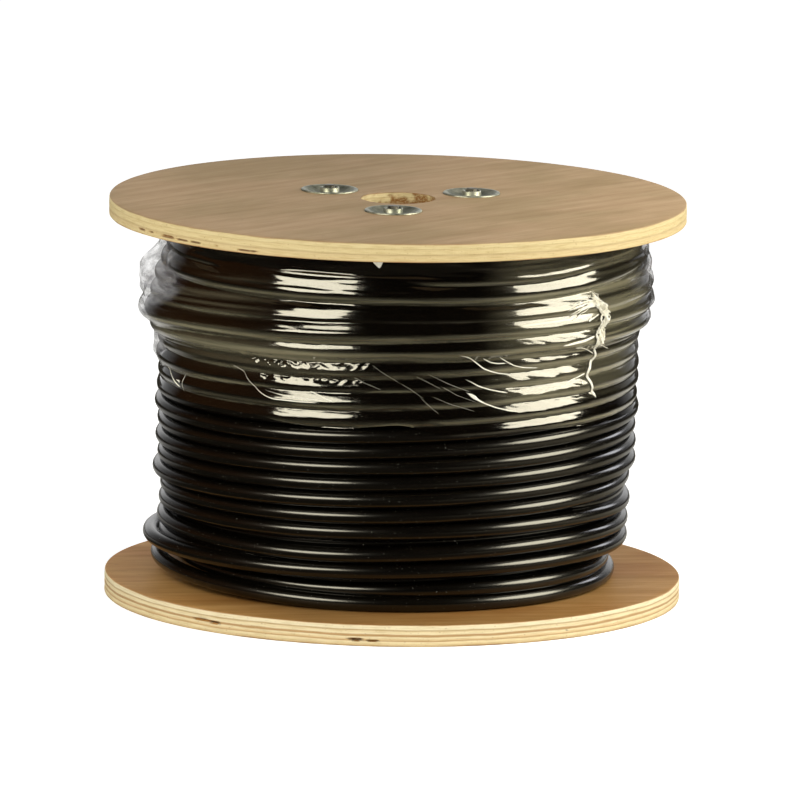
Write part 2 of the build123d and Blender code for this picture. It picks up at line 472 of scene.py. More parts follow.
# Twisted and torn bits of film, each a line of (angle, height) and the half widths along it
KNOT = np.array([
    (49.7, 231.7), (50.4, 227.9), (51.5, 223.4), (53.3, 219.9), (53.7, 215.6), (53.2, 211.6),
    (52.9, 207.4), (52.5, 203.9), (52.4, 199.7), (52.5, 196.1), (53.3, 191.5),
])
THREAD = np.array([
    (53.3, 193.5), (54.1, 188.1), (53.9, 184.0), (53.4, 180.7), (52.6, 177.5), (51.9, 175.0),
    (52.4, 171.6), (52.9, 168.3), (53.5, 164.6), (54.3, 160.8), (55.4, 156.1),
])
FAN = np.array([(42.3, 222.0), (45.3, 224.2), (48.2, 225.6), (51.2, 225.0)])
WISPS = [
    ([(53.0, 160.6), (53.7, 160.0), (54.5, 158.9)], [0.3, 0.6, 0.4]),
    ([(47.7, 213.3), (49.0, 214.6), (50.4, 215.5), (51.8, 217.0)], [1.0, 0.7, 0.5, 0.6]),
    ([(40.6, 198.1), (43.9, 198.9), (47.4, 199.8), (51.1, 202.0)], [0.3, 0.8, 0.9, 0.7]),
    ([(45.4, 195.0), (48.4, 193.9), (51.7, 191.1), (53.8, 187.5)], [0.2, 0.3, 0.35, 0.3]),
    ([(45.2, 170.3), (48.3, 172.1), (51.5, 174.8)], [0.3, 0.5, 0.5]),
    ([(49.9, 171.5), (50.6, 168.5), (50.4, 166.4)], [0.3, 0.4, 0.2]),
    ([(54.9, 193.6), (57.6, 191.7), (60.1, 188.8)], [0.25, 0.25, 0.15]),
    ([(-42.9, 181.1), (-40.7, 178.5), (-38.6, 175.7), (-37.9, 173.2), (-36.8, 170.4), (-35.4, 167.1),
      (-34.0, 164.4), (-32.0, 161.9), (-29.8, 160.5), (-26.4, 160.5), (-22.6, 160.4), (-17.6, 160.8)],
     [0.06, 0.1, 0.1, 0.1, 0.13, 0.15, 0.2, 0.28, 0.36, 0.4, 0.4, 0.3]),
    ([(-32.6, 165.9), (-29.0, 164.2), (-25.1, 163.2), (-21.0, 162.5), (-17.1, 162.3)],
     [0.05, 0.1, 0.2, 0.3, 0.3]),
    ([(-20.6, 167.8), (-18.6, 166.2), (-16.6, 163.8), (-14.7, 162.1)], [0.5, 0.35, 0.3, 0.2]),
    ([(14.0, 196.8), (16.2, 195.2), (17.7, 193.4), (19.5, 189.4), (21.0, 185.8), (23.0, 183.4),
      (25.5, 181.3), (28.7, 180.0)], [0.05, 0.15, 0.3, 0.4, 0.45, 0.4, 0.4, 0.3]),
    ([(16.6, 178.7), (18.3, 176.4), (20.1, 173.4), (22.6, 170.9), (25.2, 169.1), (27.8, 167.6)],
     [0.05, 0.2, 0.4, 0.4, 0.4, 0.35]),
    ([(16.8, 169.6), (18.0, 168.0), (19.0, 166.0), (19.9, 164.0), (21.7, 161.3), (24.5, 158.1),
      (27.9, 155.4), (30.4, 154.5)], [0.1, 0.9, 1.3, 0.6, 0.4, 0.4, 0.4, 0.3]),
    ([(20.7, 193.0), (22.9, 189.6), (24.5, 188.7), (26.8, 188.6)], [0.3, 0.4, 0.4, 0.3]),
    ([(24.5, 193.9), (27.0, 189.6), (28.9, 186.5), (31.6, 184.5), (36.1, 183.1)],
     [0.2, 0.3, 0.3, 0.3, 0.3]),
    ([(4.6, 181.3), (7.6, 177.1), (11.0, 172.1)], [0.03, 0.045, 0.03]),
    ([(7.6, 182.6), (12.8, 175.5), (18.2, 169.4)], [0.03, 0.05, 0.05]),
    ([(5.9, 166.7), (8.0, 161.1), (10.6, 154.7)], [0.03, 0.05, 0.03]),
    ([(8.7, 167.3), (13.4, 161.5), (19.3, 156.1)], [0.03, 0.05, 0.04]),
    ([(1.2, 176.3), (4.0, 171.5), (7.0, 165.3)], [0.03, 0.04, 0.03]),
    ([(10.5, 174.9), (14.8, 167.7), (19.7, 162.3)], [0.03, 0.045, 0.03]),
    ([(-5.4, 188.3), (-2.3, 182.4), (1.2, 175.6)], [0.03, 0.04, 0.03]),
    ([(-10.0, 179.5), (-6.7, 175.1), (-3.0, 171.2)], [0.03, 0.05, 0.03]),
    ([(-4.3, 263.6), (-4.2, 261.2), (-4.0, 258.6), (-3.9, 256.2)], [3.9, 3.8, 1.9, 0.3]),
    ([(-12.5, 260.6), (-10.0, 261.2), (-7.0, 261.5)], [0.15, 0.3, 0.4]),
    ([(-61.1, 166.3), (-61.7, 161.1), (-62.1, 155.4), (-62.4, 152.4)], [0.12, 0.22, 0.22, 0.1]),
    ([(-73.0, 165.0), (-69.5, 161.4), (-66.0, 157.6), (-63.4, 154.8)], [0.2, 0.45, 0.6, 0.4]),
    ([(-65.6, 159.6), (-64.2, 159.4), (-63.2, 159.0)], [0.1, 0.5, 1.3]),
]


def evened(values):
    """Values along a line, rubbed smooth over their neighbours."""
    return np.convolve(np.pad(values, 2, mode="edge"), np.array([1, 2, 3, 2, 1]) / 9, "valid")


def strand(line, widths, lift=0.25, flat=0.3, loose=0.0, seed=0):
    """A strip of film laid along a line on the skin, its section an oval as wide as given and
    flatter by a share. Its line wanders a little where it is loose; its ends come to a point."""
    line = np.array(line, float)
    step = np.hypot(np.diff(line[:, 0]) * MM_PER_DEGREE, np.diff(line[:, 1]))
    along = np.r_[0, np.cumsum(step)]
    count = max(6, int(along[-1] / 0.8))
    at = np.linspace(0, along[-1], count)
    widths = np.broadcast_to(widths, len(line))
    angle, height, width = (np.interp(at, along, values) for values in (*line.T, widths))
    rng = np.random.default_rng(seed)
    push = [np.convolve(rng.normal(size=count + 6), np.ones(7) / 7, "valid") for _ in range(4)]
    angle = evened(angle) + 0.55 * loose * push[0]
    height = evened(height) + 1.6 * loose * push[1]
    radius = evened(film_radius(angle, height)) + lift + loose * np.abs(push[2]) * 2
    centre = around(radius, angle, height)
    radial = around(1.0, angle, 0.0)
    across = np.cross(np.gradient(centre, axis=0), radial)
    across /= np.linalg.norm(across, axis=1, keepdims=True)
    width = width * (1 + 0.9 * loose * push[3]) * window(at / at[-1], 0, 0.12, 0.9, 1)
    width = np.maximum(width, 0)[:, None, None]
    bend = (np.arange(8) * np.pi / 4)[None, :, None]
    oval = np.cos(bend) * across[:, None] + flat * np.sin(bend) * radial[:, None]
    return grid(centre[:, None] + width * oval)


def make_film(film, folded):
    """The film as one skin, and on it the torn tab, drawn edges and scratches, and the tail: a
    twisted knot, the fan that runs into it and the thread that hangs from it."""
    surface = grid(around(FILM_RADII, FILM_ANGLES, FILM_HEIGHTS))
    marks = {"haze_and_sheen": FILM_HAZE_AND_SHEEN.ravel(), "loose": FILM_LOOSE.ravel()}
    skin = make_piece("film", [surface], film, ["stretch_film"], marks, weld=0, corner=180)
    bits = [strand(line, widths, seed=number) for number, (line, widths) in enumerate(WISPS)]
    rng = np.random.default_rng(31)
    for number in range(16):
        half = rng.uniform(0.25, 0.75)
        line = KNOT + rng.normal(size=2) * [0.55, 0.9]
        bits.append(strand(line, half, lift=0.9, flat=0.7, loose=1.6, seed=40 + number))
    for number in range(16):
        spread = [rng.uniform(-1, 1.5), rng.uniform(-7, 5)]
        line = FAN + np.linspace(1.0, 0.25, len(FAN))[:, None] * spread
        half = rng.uniform(0.15, 0.5) * np.array([0.4, 0.8, 1.0, 1.0])
        bits.append(strand(line, half, lift=0.5, flat=0.5, loose=0.5, seed=60 + number))
    for number in range(2):
        line = THREAD + [0.08 * number, 0]
        half = [0.85] * 9 + [1.0, 0.8]
        bits.append(strand(line, half, lift=0.7, flat=0.6, loose=0.25, seed=90 + number))
    tail = make_piece("film_tail", bits, folded, weld=0.0005, corner=60)
    return skin, tail


# Flanges

def sector_loop(angle, inner, outer):
    """Edge of a third of a ring round one bolt: inner arc, straight side, outer arc, side."""
    centre = angle + 90.0
    side = np.linspace(inner, outer, 13)[:-1]
    inner_arc = around(inner, centre + np.linspace(60, -60, 61)[:-1], 0)
    first_side = around(side, centre - 60, 0)
    outer_arc = around(outer, centre + np.linspace(-60, 60, 241)[:-1], 0)
    last_side = around(side[::-1] + (outer - inner) / 12, centre + 60, 0)
    return np.vstack([inner_arc, first_side, outer_arc, last_side])


def bolt_ring(loop, centre, radius, height):
    """Points of a circle round a bolt, each in the direction of a point of the loop."""
    away = loop[:, :2] - centre
    away = away / np.linalg.norm(away, axis=1, keepdims=True) * radius + centre
    return np.column_stack([away, np.full(len(loop), height)])


def level(loop, height):
    """The loop moved to a height."""
    return loop * [1, 1, 0] + [0, 0, height]


def rim_profile(low, high, round_top, round_low):
    """Radius and height from the top face over the rim to the underside, edges rounded."""
    face = [HUB_RADIUS, 130, 170, 192]
    top = arc((FLANGE_RADIUS - round_top, high - round_top), round_top, 90, 0, 6)
    foot = arc((FLANGE_RADIUS - round_low, low + round_low), round_low, 0, -90, 6)
    wall = np.linspace(high - round_top, low + round_low, 16)[1:-1]
    wall = [(FLANGE_RADIUS, height) for height in wall]
    return [(r, high) for r in face] + top + wall + foot + [(r, low) for r in face[::-1]]


def plate(low, high, top_seat, top_depth, low_seat, low_depth):
    """A round plate with a bore and three bolt holes, each let in at the top or underneath."""
    surfaces = [turned(rim_profile(low, high, 1.1, 0.5), 720)]
    bore_rows = np.linspace(high, low, 13)
    bore = around(BORE_RADIUS, BOLT_ANGLES[0] + 90 + 60 + np.arange(180) * 2.0, bore_rows[:, None])
    surfaces.append(grid(bore))
    for angle in BOLT_ANGLES:
        centre = np.array(bolt_centre(angle))
        loop = sector_loop(angle, BORE_RADIUS, HUB_RADIUS)
        for face, seat, depth, inward in ((high, top_seat, top_depth, -1), (low, low_seat, low_depth, 1)):
            mouth = bolt_ring(loop, centre, seat, face)
            surfaces.append(between(level(loop, face), mouth, 2))
            if depth:
                floor = face + inward * depth
                ledge = bolt_ring(loop, centre, seat, floor)
                surfaces.append(between(mouth, ledge, 2))
                surfaces.append(between(ledge, bolt_ring(loop, centre, BOLT_HOLE, floor)))
        hole = [bolt_ring(loop, centre, BOLT_HOLE, z) for z in (high - top_depth, low + low_depth)]
        surfaces.append(between(*hole))
    return surfaces


def pits(points, places):
    """How deep each point lies in the voids of the plies: round hollows of (angle, height,
    half length in degrees, half height), 1 in the middle."""
    angle = np.degrees(np.arctan2(points[:, 0], -points[:, 1]))
    depth = np.zeros(len(points))
    for at, height, long, tall in places:
        away = ((angle - at) / long) ** 2 + ((points[:, 2] - height) / tall) ** 2
        depth = np.maximum(depth, smooth_step(1.3, 0.4, away + 0.35 * waves(points, (5, 5, 2), 9, 3)))
    return depth


def weathered(surfaces, voids, rough_bore):
    """The plate's surfaces with the plies uneven on the rim, voids sunk in and the bore torn, and for each
    point how much it takes the hollow colour:
    in a void, and in the bore more towards the right and lower down."""
    starts = np.cumsum([0] + [len(vertices) for vertices, _ in surfaces])
    points = np.vstack([vertices for vertices, _ in surfaces])
    reach = np.hypot(points[:, 0], points[:, 1])
    out = points * [1, 1, 0] / np.maximum(reach, 1e-6)[:, None]
    void = pits(points, voids) * (reach > FLANGE_RADIUS - 0.6)
    rim = smooth_step(FLANGE_RADIUS - 2, FLANGE_RADIUS - 0.5, reach)
    move = rim * (0.07 * waves(points, (7, 7, 1.0), 30, 21) - 0.08) - 1.6 * void
    bore = smooth_step(0.6, 0.2, np.abs(reach - BORE_RADIUS))
    move = move + bore * rough_bore * (0.28 * waves(points, (2.2, 2.2, 2.5), 40, 22) + 0.25)
    # Share of the bore in the hollow colour: more of it towards the right and lower down.
    brown = points[:, 0] / 50 + 0.3 * waves(points, (3, 3, 2), 20, 23)
    brown += 0.3 * waves(points, (1.3, 1.3, 1.0), 40, 24) + 0.7 * rough_bore
    deep = (points[:, 2].max() - points[:, 2]) / (UPPER_TOP - UPPER_LOW)
    void = np.maximum(void, bore * smooth_step(0.75, 1.45, brown + deep))
    points = points + out * move[:, None]
    parts = zip(surfaces, starts[:-1], starts[1:])
    return [(points[first:last], faces) for (_, faces), first, last in parts], void


def make_flanges(upper_finish, lower_finish):
    """Both plates; the upper one has the nuts' seats on top, the lower the heads' below."""
    upper_voids = [
        (-61, 268.4, 1.4, 0.6), (-57.5, 268.2, 1.0, 0.5), (-52, 268.0, 2.6, 0.8),
        (-47.5, 267.8, 1.6, 0.6), (-43.5, 267.6, 1.1, 0.5), (-38, 267.4, 0.7, 0.4),
        (-31.5, 267.0, 1.2, 0.6), (-29.0, 266.8, 0.6, 0.4),
    ]
    lower_voids = [
        (-40.5, 7.8, 2.4, 0.8), (-37, 7.2, 1.5, 0.7), (-7, 4.6, 2.0, 0.75),
        (-3.5, 4.3, 1.4, 0.6), (37, 5.5, 0.6, 0.6),
    ]
    upper = plate(UPPER_LOW, UPPER_TOP, NUT_SEAT, NUT_SEAT_DEPTH, BOLT_HOLE, 0)
    upper, void = weathered(upper, upper_voids, 1.0)
    make_piece("upper_plate", upper, upper_finish, ["upper_flange"], {"void": void})
    lower = plate(0, LOWER_TOP, BOLT_HOLE, 0, HEAD_SEAT, HEAD_SEAT_DEPTH)
    lower, void = weathered(lower, lower_voids, 0.5)
    make_piece("lower_plate", lower, lower_finish, ["lower_flange"], {"void": void})


# Nuts and bolts

def nut_profile():
    """Half section of a cup nut: rolled rim, hollow dish, collar with a rounded ring."""
    rim = UPPER_TOP + 1.0
    dish = [(17.3 - 10.3 * s, rim - 0.15 - 3.9 * (1 - (1 - s) ** 2.2)) for s in np.linspace(0, 1, 14)]
    collar = arc((6.05, rim + 0.6), 0.7, 0, 180, 9)
    return (
        [(4.0, rim - 5.5), (19.4, rim - 5.5)]
        + arc((19.0, rim - 0.75), 0.85, -40, 90, 9)
        + arc((18.0, rim - 0.25), 0.32, 80, 150, 4)
        + dish
        + [(6.75, rim - 3.6)]
        + collar
        + [(4.9, rim + 0.1), (4.2, rim - 0.6), (4.0, rim - 5.5)]
    )


def bolt_surfaces(centre):
    """A bolt: round head, shank, and a thread whose crest climbs 1.25 each turn; the radius
    at an angle and a height is the root plus a tooth of height / 1.25 less the turn's share."""
    head = [(0, 0.6), (7.5, 0.6)] + arc((8.3, 2.4), 2.0, -80, 0, 7)
    head = head + [(10.3, HEAD_SEAT_DEPTH), (4.0, HEAD_SEAT_DEPTH), (4.0, 262.0)]
    columns = 48
    height = np.linspace(262.0, BOLT_TOP - 0.3, 150)
    share = np.arange(columns) / columns
    tooth = np.abs(((height[:, None] / 1.25 - share) % 1) - 0.5) * 2
    radius = 3.98 - smooth_step(262, 264, height)[:, None] * 0.62 * tooth
    thread = grid(around(radius, share * 360, height[:, None]) + [*centre, 0])
    tip = turned([(3.36, BOLT_TOP - 0.3), (2.9, BOLT_TOP), (0, BOLT_TOP)], columns, centre)
    return [turned(head, columns, centre), thread, tip]


def make_fixings(zinc, steel):
    """Three cup nuts in one piece, and the three tie bolts."""
    nuts = [turned(nut_profile(), 96, bolt_centre(angle)) for angle in BOLT_ANGLES]
    make_piece("dished_nuts", nuts, zinc, ["cup_nuts"], corner=50)
    for number, angle in enumerate(BOLT_ANGLES, start=1):
        bolt = bolt_surfaces(bolt_centre(angle))
        make_piece(f"threaded_bolt_{number}", bolt, steel, [f"tie_bolt_{number}"])


# Finishes

def linear(red, green, blue):
    """A screen colour, 0 to 255, as the shader's own values."""
    share = np.array([red, green, blue]) / 255
    value = np.where(share > 0.04045, ((share + 0.055) / 1.055) ** 2.4, share / 12.92)
    return (*value.tolist(), 1.0)


def node(tree, kind, inputs=None, **settings):
    """Adds a node, with its settings and what feeds its inputs."""
    new = tree.nodes.new("ShaderNode" + kind)
    for name, value in settings.items():
        setattr(new, name, value)
    for name, value in (inputs or {}).items():
        if isinstance(value, bpy.types.NodeSocket):
            tree.links.new(value, new.inputs[name])
        else:
            new.inputs[name].default_value = value
    return new


def sums(tree, operation, first, second=0.0, third=0.0, clamp=False):
    """One step of arithmetic."""
    inputs = {0: first, 1: second, 2: third}
    return node(tree, "Math", inputs, operation=operation, use_clamp=clamp).outputs[0]


def mixed(tree, share, first, second, mode="MIX"):
    """Two colours mixed by a share."""
    return node(tree, "Mix", {0: share, 6: first, 7: second}, data_type="RGBA", blend_type=mode).outputs[2]


def fraction(tree, value, low, high):
    """0 to 1 as a value goes from low to high."""
    return node(tree, "MapRange", {0: value, 1: low, 2: high}).outputs[0]


def ramp(tree, value, stops):
    """A colour for each value, from stops of (place, colour)."""
    new = node(tree, "ValToRGB", {0: value})
    band = new.color_ramp
    while len(band.elements) < len(stops):
        band.elements.new(0.5)
    for element, (place, colour) in zip(band.elements, stops):
        element.position = place
        element.color = colour if hasattr(colour, "__len__") else (colour, colour, colour, 1)
    return new.outputs[0]


def grain(tree, place, size, turn=0.0, detail=3.0, rough=0.55, shift=0.0):
    """Noise whose features have a size along, across and up, in metres, turned about Z."""
    fit = {"Location": (shift, shift, shift), "Rotation": (0, 0, math.radians(turn)), "Scale": size}
    fitted = node(tree, "Mapping", {"Vector": place, **fit}, vector_type="TEXTURE")
    inputs = {"Vector": fitted.outputs[0], "Scale": 1.0, "Detail": detail, "Roughness": rough}
    return node(tree, "TexNoise", inputs).outputs[0]


def start_finish(name, **constants):
    """A new material: its node tree, its shader and its object coordinates."""
    finish = bpy.data.materials.new(name)
    finish.use_nodes = True
    tree = finish.node_tree
    shader = tree.nodes["Principled BSDF"]
    for socket, value in constants.items():
        shader.inputs[socket.replace("_", " ")].default_value = value
    place = node(tree, "TexCoord").outputs["Object"]
    return finish, tree, shader, place


def set_bump(tree, shader, height, strength, distance):
    """Feeds a height to the shader's normal."""
    bump = node(tree, "Bump", {"Height": height, "Strength": strength, "Distance": distance})
    tree.links.new(bump.outputs[0], shader.inputs["Normal"])


def plywood(name, low, high, faces, plies, grain_turn, patch, hollow, painted_light_tones):
    """Plywood: on its faces veneer with fine grain and flecks, lighter and darker across the plate from
    left to right as painted light and shade.
    On the rim and in the bore its plies, their pores and torn voids; voids and bore take the hollow
    colour, which on the lower plate is painted shade."""
    finish, tree, shader, place = start_finish(name, Specular_IOR_Level=0.2)
    fine = grain(tree, place, (0.022, 0.0009, 0.02), grain_turn, 5, 0.6)
    broad = grain(tree, place, (0.11, 0.008, 0.02), grain_turn, 3, 0.5, 0.3)
    cloud = grain(tree, place, (0.09, 0.05, 0.05), grain_turn, 3, 0.5, 1.7)
    mix = sums(tree, "ADD", sums(tree, "MULTIPLY", fine, 0.5), sums(tree, "MULTIPLY", broad, 0.5))
    veneer = ramp(tree, mix, [(0.26, faces[0]), (0.5, faces[1]), (0.74, faces[2])])
    tint = ramp(tree, cloud, [(0.42, (1, 1, 1, 1)), (0.62, patch)])
    veneer = mixed(tree, 1.0, veneer, tint, "MULTIPLY")
    across, _, up = node(tree, "SeparateXYZ", {0: place}).outputs
    across = fraction(tree, across, -FLANGE_RADIUS * MM, FLANGE_RADIUS * MM)
    # Painted light and shade: the faces made lighter and darker across the plate, from left to right.
    veneer = mixed(tree, 1.0, veneer, ramp(tree, across, painted_light_tones), "MULTIPLY")
    fleck = grain(tree, place, (0.006, 0.0011, 0.003), grain_turn, 2, 0.5, 2.9)
    fleck = ramp(tree, fleck, [(0.70, 0.0), (0.76, 1.0)])
    veneer = mixed(tree, sums(tree, "MULTIPLY", fleck, 0.6), veneer, faces[3])

    wander = sums(tree, "SUBTRACT", grain(tree, place, (0.05, 0.05, 0.01)), 0.5)
    wander = sums(tree, "MULTIPLY", wander, 0.0022)
    edge = ramp(tree, fraction(tree, sums(tree, "ADD", up, wander), low * MM, high * MM), plies)
    streak = grain(tree, place, (0.012, 0.012, 0.0007), 0, 4, 0.6, 0.8)
    streak = ramp(tree, streak, [(0.3, (0.80, 0.74, 0.62, 1)), (0.55, (1, 1, 1, 1))])
    edge = mixed(tree, 0.8, edge, streak, "MULTIPLY")
    pores = grain(tree, place, (0.0016, 0.0016, 0.0011), 0, 2, 0.5, 4.1)
    pores = ramp(tree, pores, [(0.66, 0.0), (0.74, 1.0)])
    edge = mixed(tree, sums(tree, "MULTIPLY", pores, 0.45), edge, linear(150, 100, 55))
    # Voids and part of the bore take the hollow colour in patches; on the lower plate its near black is
    # painted shade.
    void = node(tree, "Attribute", attribute_name="void").outputs["Fac"]
    torn = grain(tree, place, (0.0016, 0.0016, 0.0008), 0, 3, 0.6, 7.7)
    torn = ramp(tree, torn, [(0.36, 0.55), (0.54, 1.0)])
    edge = mixed(tree, sums(tree, "MULTIPLY", void, torn, clamp=True), edge, hollow)

    facing = node(tree, "SeparateXYZ", {0: node(tree, "NewGeometry").outputs["Normal"]}).outputs[2]
    on_face = ramp(tree, sums(tree, "ABSOLUTE", facing), [(0.72, 0.0), (0.86, 1.0)])
    tree.links.new(mixed(tree, on_face, edge, veneer), shader.inputs["Base Color"])
    rough = ramp(tree, mix, [(0.3, 0.62), (0.7, 0.5)])
    tree.links.new(rough, shader.inputs["Roughness"])
    height = sums(tree, "ADD", fine, sums(tree, "MULTIPLY", streak, 0.8))
    set_bump(tree, shader, height, 0.35, 0.00035)
    return finish


def cable_jacket():
    """Black jacket: smooth, a little uneven, with specks of dust."""
    finish, tree, shader, place = start_finish(
        "cable_jacket", Specular_IOR_Level=0.0, Coat_Weight=1.0, Coat_IOR=1.58, Coat_Roughness=0.21,
    )
    cloud = grain(tree, place, (0.03, 0.03, 0.004), 0, 3, 0.6)
    colour = ramp(tree, cloud, [(0.35, (0.0016, 0.0012, 0.0006, 1)), (0.7, (0.0034, 0.0026, 0.0014, 1))])
    dust = grain(tree, place, (0.0009, 0.0009, 0.0007), 0, 0, 0.5, 3.3)
    dust = ramp(tree, dust, [(0.83, 0.0), (0.86, 1.0)])
    colour = mixed(tree, sums(tree, "MULTIPLY", dust, 0.5), colour, (0.35, 0.34, 0.3, 1))
    tree.links.new(colour, shader.inputs["Base Color"])
    tree.links.new(ramp(tree, cloud, [(0.3, 0.5), (0.7, 0.6)]), shader.inputs["Roughness"])
    set_bump(tree, shader, grain(tree, place, (0.006, 0.006, 0.003), 0, 3, 0.5, 1.1), 0.25, 0.0004)
    return finish


def clear_film():
    """Stretch film: clear and very glossy on the cable, milky where it is drawn or loose, and milky olive
    where it faces down, a painted reflection of the floor, with painted light at the right.
    """
    finish, tree, shader, place = start_finish(
        "stretch_film", IOR=1.42, Coat_Weight=1.0, Coat_IOR=1.58, Coat_Roughness=0.04,
    )
    haze_and_sheen_mark = node(tree, "Attribute", attribute_name="haze_and_sheen").outputs["Fac"]
    loose = node(tree, "Attribute", attribute_name="loose").outputs["Fac"]
    streak = grain(tree, place, (0.06, 0.06, 0.0011), 0, 4, 0.6)
    smear = grain(tree, place, (0.012, 0.012, 0.0035), 0, 3, 0.6, 2.2)
    wrinkle = grain(tree, place, (0.02, 0.02, 0.005), 0, 4, 0.6, 5.2)
    wrinkle = ramp(tree, wrinkle, [(0.42, 0.0), (0.62, 1.0)])
    haze_and_sheen = sums(tree, "MULTIPLY", haze_and_sheen_mark, ramp(tree, streak, [(0.3, 0.7), (0.6, 1.0)]), clamp=True)
    # The milky olive is partly the film's own milk, partly painted reflection of the floor and painted
    # light at the right.
    colour = mixed(tree, haze_and_sheen, (0.003, 0.0022, 0.0012, 1), linear(138, 133, 108))
    slack = mixed(tree, wrinkle, linear(236, 236, 240), linear(132, 132, 140))
    colour = mixed(tree, loose, colour, slack)
    tree.links.new(colour, shader.inputs["Base Color"])
    alpha = sums(tree, "ADD", sums(tree, "MULTIPLY", haze_and_sheen, 0.1), 0.88)
    thin = sums(tree, "SUBTRACT", 0.72, sums(tree, "MULTIPLY", wrinkle, 0.34))
    alpha = sums(tree, "SUBTRACT", alpha, sums(tree, "MULTIPLY", loose, thin), clamp=True)
    tree.links.new(alpha, shader.inputs["Alpha"])
    tree.links.new(ramp(tree, smear, [(0.3, 0.07), (0.7, 0.14)]), shader.inputs["Roughness"])
    set_bump(tree, shader, streak, 0.16, 0.0006)
    return finish


def folded_film():
    """Bunched film, milky and slightly warm."""
    finish, tree, shader, place = start_finish("folded_film", IOR=1.5, Roughness=0.35)
    mottle = grain(tree, place, (0.004, 0.004, 0.004), 0, 3, 0.6)
    colour = ramp(tree, mottle, [(0.3, linear(244, 240, 218)), (0.7, linear(255, 253, 240))])
    tree.links.new(colour, shader.inputs["Base Color"])
    set_bump(tree, shader, mottle, 0.3, 0.0004)
    return finish


def plated_steel():
    """Zinc plate on the nuts: grey, slightly green, cloudy, with dull scuffs."""
    finish, tree, shader, place = start_finish("plated_steel", Metallic=0.8)
    cloud = grain(tree, place, (0.006, 0.006, 0.006), 0, 4, 0.6)
    colour = ramp(tree, cloud, [(0.35, linear(136, 140, 126)), (0.65, linear(196, 198, 184))])
    tree.links.new(colour, shader.inputs["Base Color"])
    tree.links.new(ramp(tree, cloud, [(0.3, 0.36), (0.7, 0.5)]), shader.inputs["Roughness"])
    set_bump(tree, shader, grain(tree, place, (0.002, 0.0007, 0.001), 35, 2, 0.5, 1), 0.15, 0.0002)
    return finish


def bolt_steel():
    """Dark steel of the bolts, with traces of oil."""
    finish, tree, shader, place = start_finish("bolt_steel", Metallic=0.85)
    cloud = grain(tree, place, (0.004, 0.004, 0.002), 0, 3, 0.6)
    colour = ramp(tree, cloud, [(0.35, linear(104, 102, 94)), (0.7, linear(168, 165, 154))])
    tree.links.new(colour, shader.inputs["Base Color"])
    tree.links.new(ramp(tree, cloud, [(0.3, 0.3), (0.7, 0.5)]), shader.inputs["Roughness"])
    set_bump(tree, shader, cloud, 0.1, 0.0002)
    return finish


def fibre_board():
    """Brown pressed board of the barrel."""
    finish, tree, shader, place = start_finish("fibre_board")
    mottle = grain(tree, place, (0.004, 0.004, 0.02), 0, 5, 0.7)
    colour = ramp(tree, mottle, [(0.3, linear(104, 78, 52)), (0.7, linear(146, 116, 82))])
    tree.links.new(colour, shader.inputs["Base Color"])
    tree.links.new(ramp(tree, mottle, [(0.3, 0.85), (0.7, 0.7)]), shader.inputs["Roughness"])
    set_bump(tree, shader, mottle, 0.4, 0.0004)
    return finish


# Stage

def stand(right, up, back, place):
    """The matrix of a camera or lamp from its three directions and its place."""
    return Matrix(np.vstack([np.column_stack([right, up, back, place]), [0, 0, 0, 1]]).tolist())


def set_camera():
    """Camera at the photograph's angle: back along the line of sight, then rolled."""
    tilt, roll = math.radians(CAMERA_ELEVATION), math.radians(CAMERA_ROLL)
    back = np.array([0, -math.cos(tilt), math.sin(tilt)])
    up = np.array([0, math.sin(tilt), math.cos(tilt)])
    right = np.array([1.0, 0, 0])
    right, up = math.cos(roll) * right + math.sin(roll) * up, math.cos(roll) * up - math.sin(roll) * right
    place = np.array(CAMERA_TARGET) + CAMERA_DISTANCE * back
    data = bpy.data.cameras.new("camera")
    data.sensor_width = 36
    data.lens = CAMERA_LENS
    data.clip_end = 100
    camera = bpy.data.objects.new("camera", data)
    camera.matrix_world = stand(right, up, back, place)
    bpy.context.scene.collection.objects.link(camera)
    bpy.context.scene.camera = camera


def add_softbox(name, azimuth, elevation, distance, size, radiance, colour, shine=False):
    """A soft lamp aimed at the drum, so bright that a mirror would show radiance. A round one,
    for shine, shows in glossy surfaces alone; a rectangular one only lights the matt ones."""
    data = bpy.data.lights.new(name, "AREA")
    data.shape = "ELLIPSE" if shine else "RECTANGLE"
    data.size, data.size_y = size
    data.energy = radiance * math.pi * size[0] * size[1] * (math.pi / 4 if shine else 1)
    data.color = colour
    turn, rise = math.radians(azimuth), math.radians(elevation)
    back = np.array([math.sin(turn) * math.cos(rise), -math.cos(turn) * math.cos(rise), math.sin(rise)])
    right = np.array([math.cos(turn), math.sin(turn), 0])
    up = np.cross(back, right)
    place = np.array([0, 0, 0.14]) + distance * back
    lamp = bpy.data.objects.new(name, data)
    lamp.matrix_world = stand(right, up, back, place)
    lamp.visible_glossy = shine
    lamp.visible_diffuse = not shine
    bpy.context.scene.collection.objects.link(lamp)


def add_lamps():
    """Soft boxes in front at the left and at the right, each as light and as shine, one more
    light above and one more shine behind."""
    warm = (1.0, 0.95, 0.84)
    add_softbox("light_left", -40, 26, 1.7, (1.4, 1.0), 2.7, warm)
    add_softbox("light_right", 76, 34, 1.08, (1.0, 0.8), 3.6, warm)
    add_softbox("light_top", 84, 60, 1.1, (0.8, 0.8), 0.6, (1, 0.98, 0.95))
    cream = (1.0, 0.93, 0.72)
    add_softbox("shine_left", -40, 22, 1.7, (1.12, 0.68), 11.5, cream, shine=True)
    add_softbox("shine_right", 76, 22, 1.7, (1.28, 1.0), 12.0, cream, shine=True)
    add_softbox("shine_back", 133, 22, 1.7, (0.4, 0.55), 4.6, (0.95, 0.95, 1.0), shine=True)


def seen_directly(tree):
    """1 for what the camera sees, straight or through the film."""
    path = node(tree, "LightPath").outputs
    return sums(tree, "MAXIMUM", path["Is Camera Ray"], path["Is Transmission Ray"])


